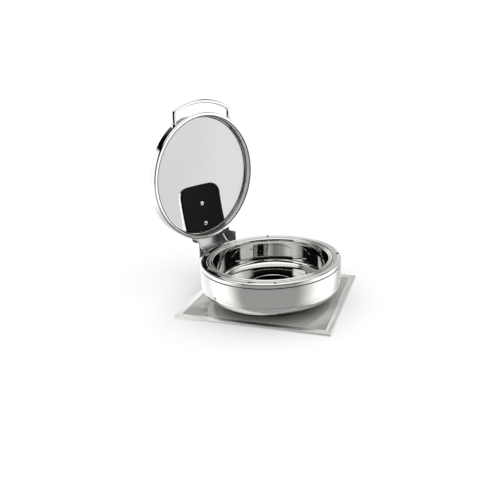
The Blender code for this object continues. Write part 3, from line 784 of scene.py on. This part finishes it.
def hood(name, half, inset, drop, corner):
    """Side outline drawn across the hinge; the two front corners are rounded in plan."""
    bpy.ops.object.select_all(action="DESELECT")
    bpy.ops.mesh.primitive_circle_add(vertices=len(cover_side), radius=1.0, fill_type="NGON")
    piece = bpy.context.object
    piece.name = name
    for point, (ahead, up) in zip(piece.data.vertices, cover_side):
        forward_of_pin = min(ahead, cover_front - inset)
        if ahead < 0.001:
            forward_of_pin = ahead + inset
        lifted = up - inset if up > 0.0310 else up - drop
        point.co = (-half, -forward_of_pin, lifted)
    bpy.ops.object.mode_set(mode="EDIT")
    bpy.ops.mesh.select_all(action="SELECT")
    bpy.ops.mesh.extrude_region_move(TRANSFORM_OT_translate={"value": (2 * half, 0.0, 0.0)})
    bpy.ops.mesh.select_all(action="SELECT")
    bpy.ops.mesh.normals_make_consistent(inside=False)
    bpy.ops.mesh.select_all(action="DESELECT")
    bpy.ops.mesh.select_mode(type="EDGE")
    shape = bmesh.from_edit_mesh(piece.data)
    for edge in shape.edges:
        at_nose = all(abs(v.co.y + cover_front - inset) < 0.0001 for v in edge.verts)
        upright = abs(edge.verts[0].co.x - edge.verts[1].co.x) < 0.0001
        edge.select = at_nose and upright
    bmesh.update_edit_mesh(piece.data)
    bpy.ops.mesh.bevel(offset=corner, segments=10, affect="EDGES")
    bpy.ops.object.mode_set(mode="OBJECT")
    return piece


cover_sheet = 0.0018
ring_clearance = 0.0007
rim_room_r = 0.2010
cover_hood = hood("cover_hood", cover_half, 0.0, 0.0, 0.032)
bevel(cover_hood, 0.0016, 4, 40.0)
cut_away(cover_hood, hood("cover_inside", cover_half - cover_sheet, cover_sheet, 0.0140, 0.0305))
lid_room = [(0.0, -0.030), (rim_room_r, -0.030), (rim_room_r, ring_low - 0.0010),
            (ring_r + ring_clearance, ring_low - 0.0010), (ring_r + ring_clearance, ring_top + 0.0004),
            (0.1768, ring_top + 0.0016)]
for i in range(13):
    reach = 0.1740 * (12 - i) / 12
    lid_room.append((reach, dome_height(reach) + 0.0004))
lid_space = turned("lid_space", lid_room, 160)
lid_space.location = (0.0, -lid_reach, 0.0)
cut_away(cover_hood, lid_space)
smooth(cover_hood, 30.0)
stand_up(cover_hood, on_axis=False)
cover_steel = polished_steel("cover_mirror_steel", 0.68)
put_on(cover_hood, "lid", cover_steel, "hinge_cover")


def faces_in(face):
    hood_middle = pin + Vector((0.0, 0.020, 0.060))
    return face.normal.dot(face.center - hood_middle) < 0.0


second_finish(cover_hood, satin_steel("cover_inside_steel", 0.80, 0.0, 0.35, 0.50), faces_in)
for side in ("left", "right"):
    softened("lid_arm_" + side, "arm_" + side, 0.0004, "lid", hinge_steel)

# ---------------------------------------------------------- pad and its screws
# Moulded black plate inside the lid, curved with the glass, with rounded
# corners and a small radius all round.  Two button-head screws clamp it.
pad_gap = glass_thickness + 0.0004
pad_thickness = 0.0050
pad_half = cover_half - 0.0005
pad_front = 0.0330
pad_corner = 0.0330
pad_end_r = 0.1735
seat_depth = 0.0004
head_room_r = 0.0076
columns = 28
rows = 22
bpy.ops.object.select_all(action="DESELECT")
bpy.ops.mesh.primitive_grid_add(x_subdivisions=columns, y_subdivisions=rows, size=2.0)
pad = bpy.context.object
pad.name = "pad"
for point in pad.data.vertices:
    x = pad_half * math.sin(point.co.x * math.pi / 2)
    over = max(abs(x) - (pad_half - pad_corner), 0.0)
    begin = pad_front + pad_corner - math.sqrt(max(pad_corner ** 2 - over ** 2, 0.0))
    end = math.sqrt(pad_end_r ** 2 - x ** 2)
    y = begin + (end - begin) * (point.co.y + 1.0) / 2.0
    point.co = (x, y, dome_height(math.hypot(x, y)) - pad_gap)
only(pad)
bpy.ops.object.modifier_add(type="SOLIDIFY")
pad.modifiers[-1].thickness = pad_thickness
pad.modifiers[-1].offset = -1.0
bpy.ops.object.modifier_apply(modifier=pad.modifiers[-1].name)
bevel(pad, 0.0011, 3, 60.0)
for place in screw_places:
    seat = dome_height(place) - pad_gap - pad_thickness + seat_depth
    for radius, low, high in ((screw_hole_r, seat - 0.010, seat + 0.020),
                              (head_room_r, seat - 0.010, seat + 0.0003)):
        bpy.ops.object.select_all(action="DESELECT")
        bpy.ops.mesh.primitive_cylinder_add(vertices=32, radius=radius, depth=high - low,
                                            location=(0.0, place, (high + low) / 2))
        cut_away(pad, bpy.context.object)
smooth(pad, 30.0)
stand_up(pad)

black_plastic, tree, shader = new_material("moulded_black_plastic")
place = tree.nodes.new("ShaderNodeTexCoord")
grain = tree.nodes.new("ShaderNodeTexNoise")
grain.inputs["Scale"].default_value = 1400.0
grain.inputs["Detail"].default_value = 2.0
tree.links.new(place.outputs["Object"], grain.inputs["Vector"])
haze = haze_on(tree, 30.0)
tone_on(tree, shader, haze, (0.0015, 0.0016, 0.0015), (0.0060, 0.0061, 0.0059))
tree.links.new(between(tree, haze, 0.26, 0.40), shader.inputs["Roughness"])
shader.inputs["Specular IOR Level"].default_value = 0.05
relief(tree, shader, grain.outputs["Fac"], 0.00003, 0.4)
put_on(pad, "lid", black_plastic, "inner_pad")

head_r = 0.0071
shank_r = 0.0024
socket_r = 0.0030
socket_depth = 0.0050
for label, place in (("front", screw_places[0]), ("rear", screw_places[1])):
    seat = dome_height(place) - pad_gap - pad_thickness + seat_depth
    shank_top = dome_height(place) + 0.0026
    head = [(0.0, seat - 0.0036)]
    head += arc(0.0034, seat - 0.0010, 0.0037, 0.0026, -90.0, 0.0, 5)
    head += [(head_r, seat), (shank_r, seat), (shank_r, shank_top), (0.0, shank_top)]
    screw = turned("button_screw_" + label, head, 40)
    bpy.ops.object.select_all(action="DESELECT")
    bpy.ops.mesh.primitive_cylinder_add(vertices=6, radius=socket_r, depth=socket_depth,
                                        location=(0.0, 0.0, seat - 0.0030))
    cut_away(screw, bpy.context.object)
    smooth(screw)
    screw.location = (0.0, place, 0.0)
    only(screw)
    bpy.ops.object.transform_apply(location=True, rotation=True, scale=True)
    stand_up(screw)
    put_on(screw, "lid", pin_steel, "pad_screw_" + label)

# -------------------------------------------------------------------- handle
# Bow bent from 12 mm polished rod, its legs set into two turned ferrules that
# are welded to the lid ring.
bar_r = 0.0060
bow_reach = 0.2234
leg_half = 0.1028
bar_up = 0.0370
bend = 0.011
leg_foot = math.sqrt(ring_r ** 2 - leg_half ** 2)
bow_end = math.sqrt(bow_reach ** 2 - leg_half ** 2)
bow_angle = math.asin(leg_half / bow_reach) - bend / bow_reach

half_route = [(leg_half, leg_foot - 0.004), (leg_half, leg_foot + 0.010)]
bend_start = Vector((leg_half, bow_end - bend))
bend_middle = Vector((leg_half, bow_end))
bend_finish = Vector((bow_reach * math.sin(bow_angle), bow_reach * math.cos(bow_angle)))
for i in range(13):
    t = i / 12
    spot = bend_start * (1 - t) ** 2 + bend_middle * 2 * t * (1 - t) + bend_finish * t ** 2
    half_route.append((spot.x, spot.y))
for i in range(1, 21):
    t = bow_angle * (1 - i / 20)
    half_route.append((bow_reach * math.sin(t), bow_reach * math.cos(t)))
route = half_route + [(-x, y) for x, y in reversed(half_route[:-1])]
bpy.ops.object.select_all(action="DESELECT")
bpy.ops.curve.primitive_nurbs_path_add()
bow = bpy.context.object
bow.name = "bow_handle"
bow.data.splines.clear()
line = bow.data.splines.new("POLY")
line.points.add(len(route) - 1)
for point, (x, y) in zip(line.points, route):
    point.co = (x, -(lid_reach + y), bar_up, 1.0)
bow.data.bevel_depth = bar_r
bow.data.bevel_resolution = 6
bow.data.use_fill_caps = True
only(bow)
bpy.ops.object.convert(target="MESH")
bow = bpy.context.object
bow.name = "bow_handle"


def fit_to_ring(piece):
    """Cut the piece back to the lid ring's outside, then stand it up on the pin."""
    outside_r = ring_r + 0.0002
    ring_space = turned("ring_space", [(0.0, ring_low - 0.01), (outside_r, ring_low - 0.01),
                                       (outside_r, ring_top + 0.01), (0.0, ring_top + 0.01)], 192)
    ring_space.location = (0.0, -lid_reach, 0.0)
    cut_away(piece, ring_space)
    smooth(piece, 40.0)
    stand_up(piece, on_axis=False)


fit_to_ring(bow)
bow_steel = polished_steel("bow_mirror_steel", 0.68, 0.02, 0.06)
put_on(bow, "lid", bow_steel, "handle_bar")

ferrule_r = 0.0088
ferrule_bore = bar_r + 0.0002
ferrule_foot = -0.016
shoulder = 0.0030
ferrule_outline = [(ferrule_bore, ferrule_foot), (ferrule_r, ferrule_foot)]
ferrule_outline += arc(0.0064, shoulder, 0.0024, 0.0022, 0.0, 90.0, 6)
ferrule_outline.append((ferrule_bore, 0.0052))
for label, side in (("left", -1.0), ("right", 1.0)):
    ferrule = turned("ferrule_" + label, ferrule_outline, 48)
    ferrule.rotation_euler.x = math.pi / 2
    ferrule.location = (side * leg_half, -(lid_reach + leg_foot), bar_up)
    only(ferrule)
    bpy.ops.object.transform_apply(location=True, rotation=True, scale=True)
    fit_to_ring(ferrule)
    put_on(ferrule, "lid", bow_steel, "handle_ferrule_" + label)
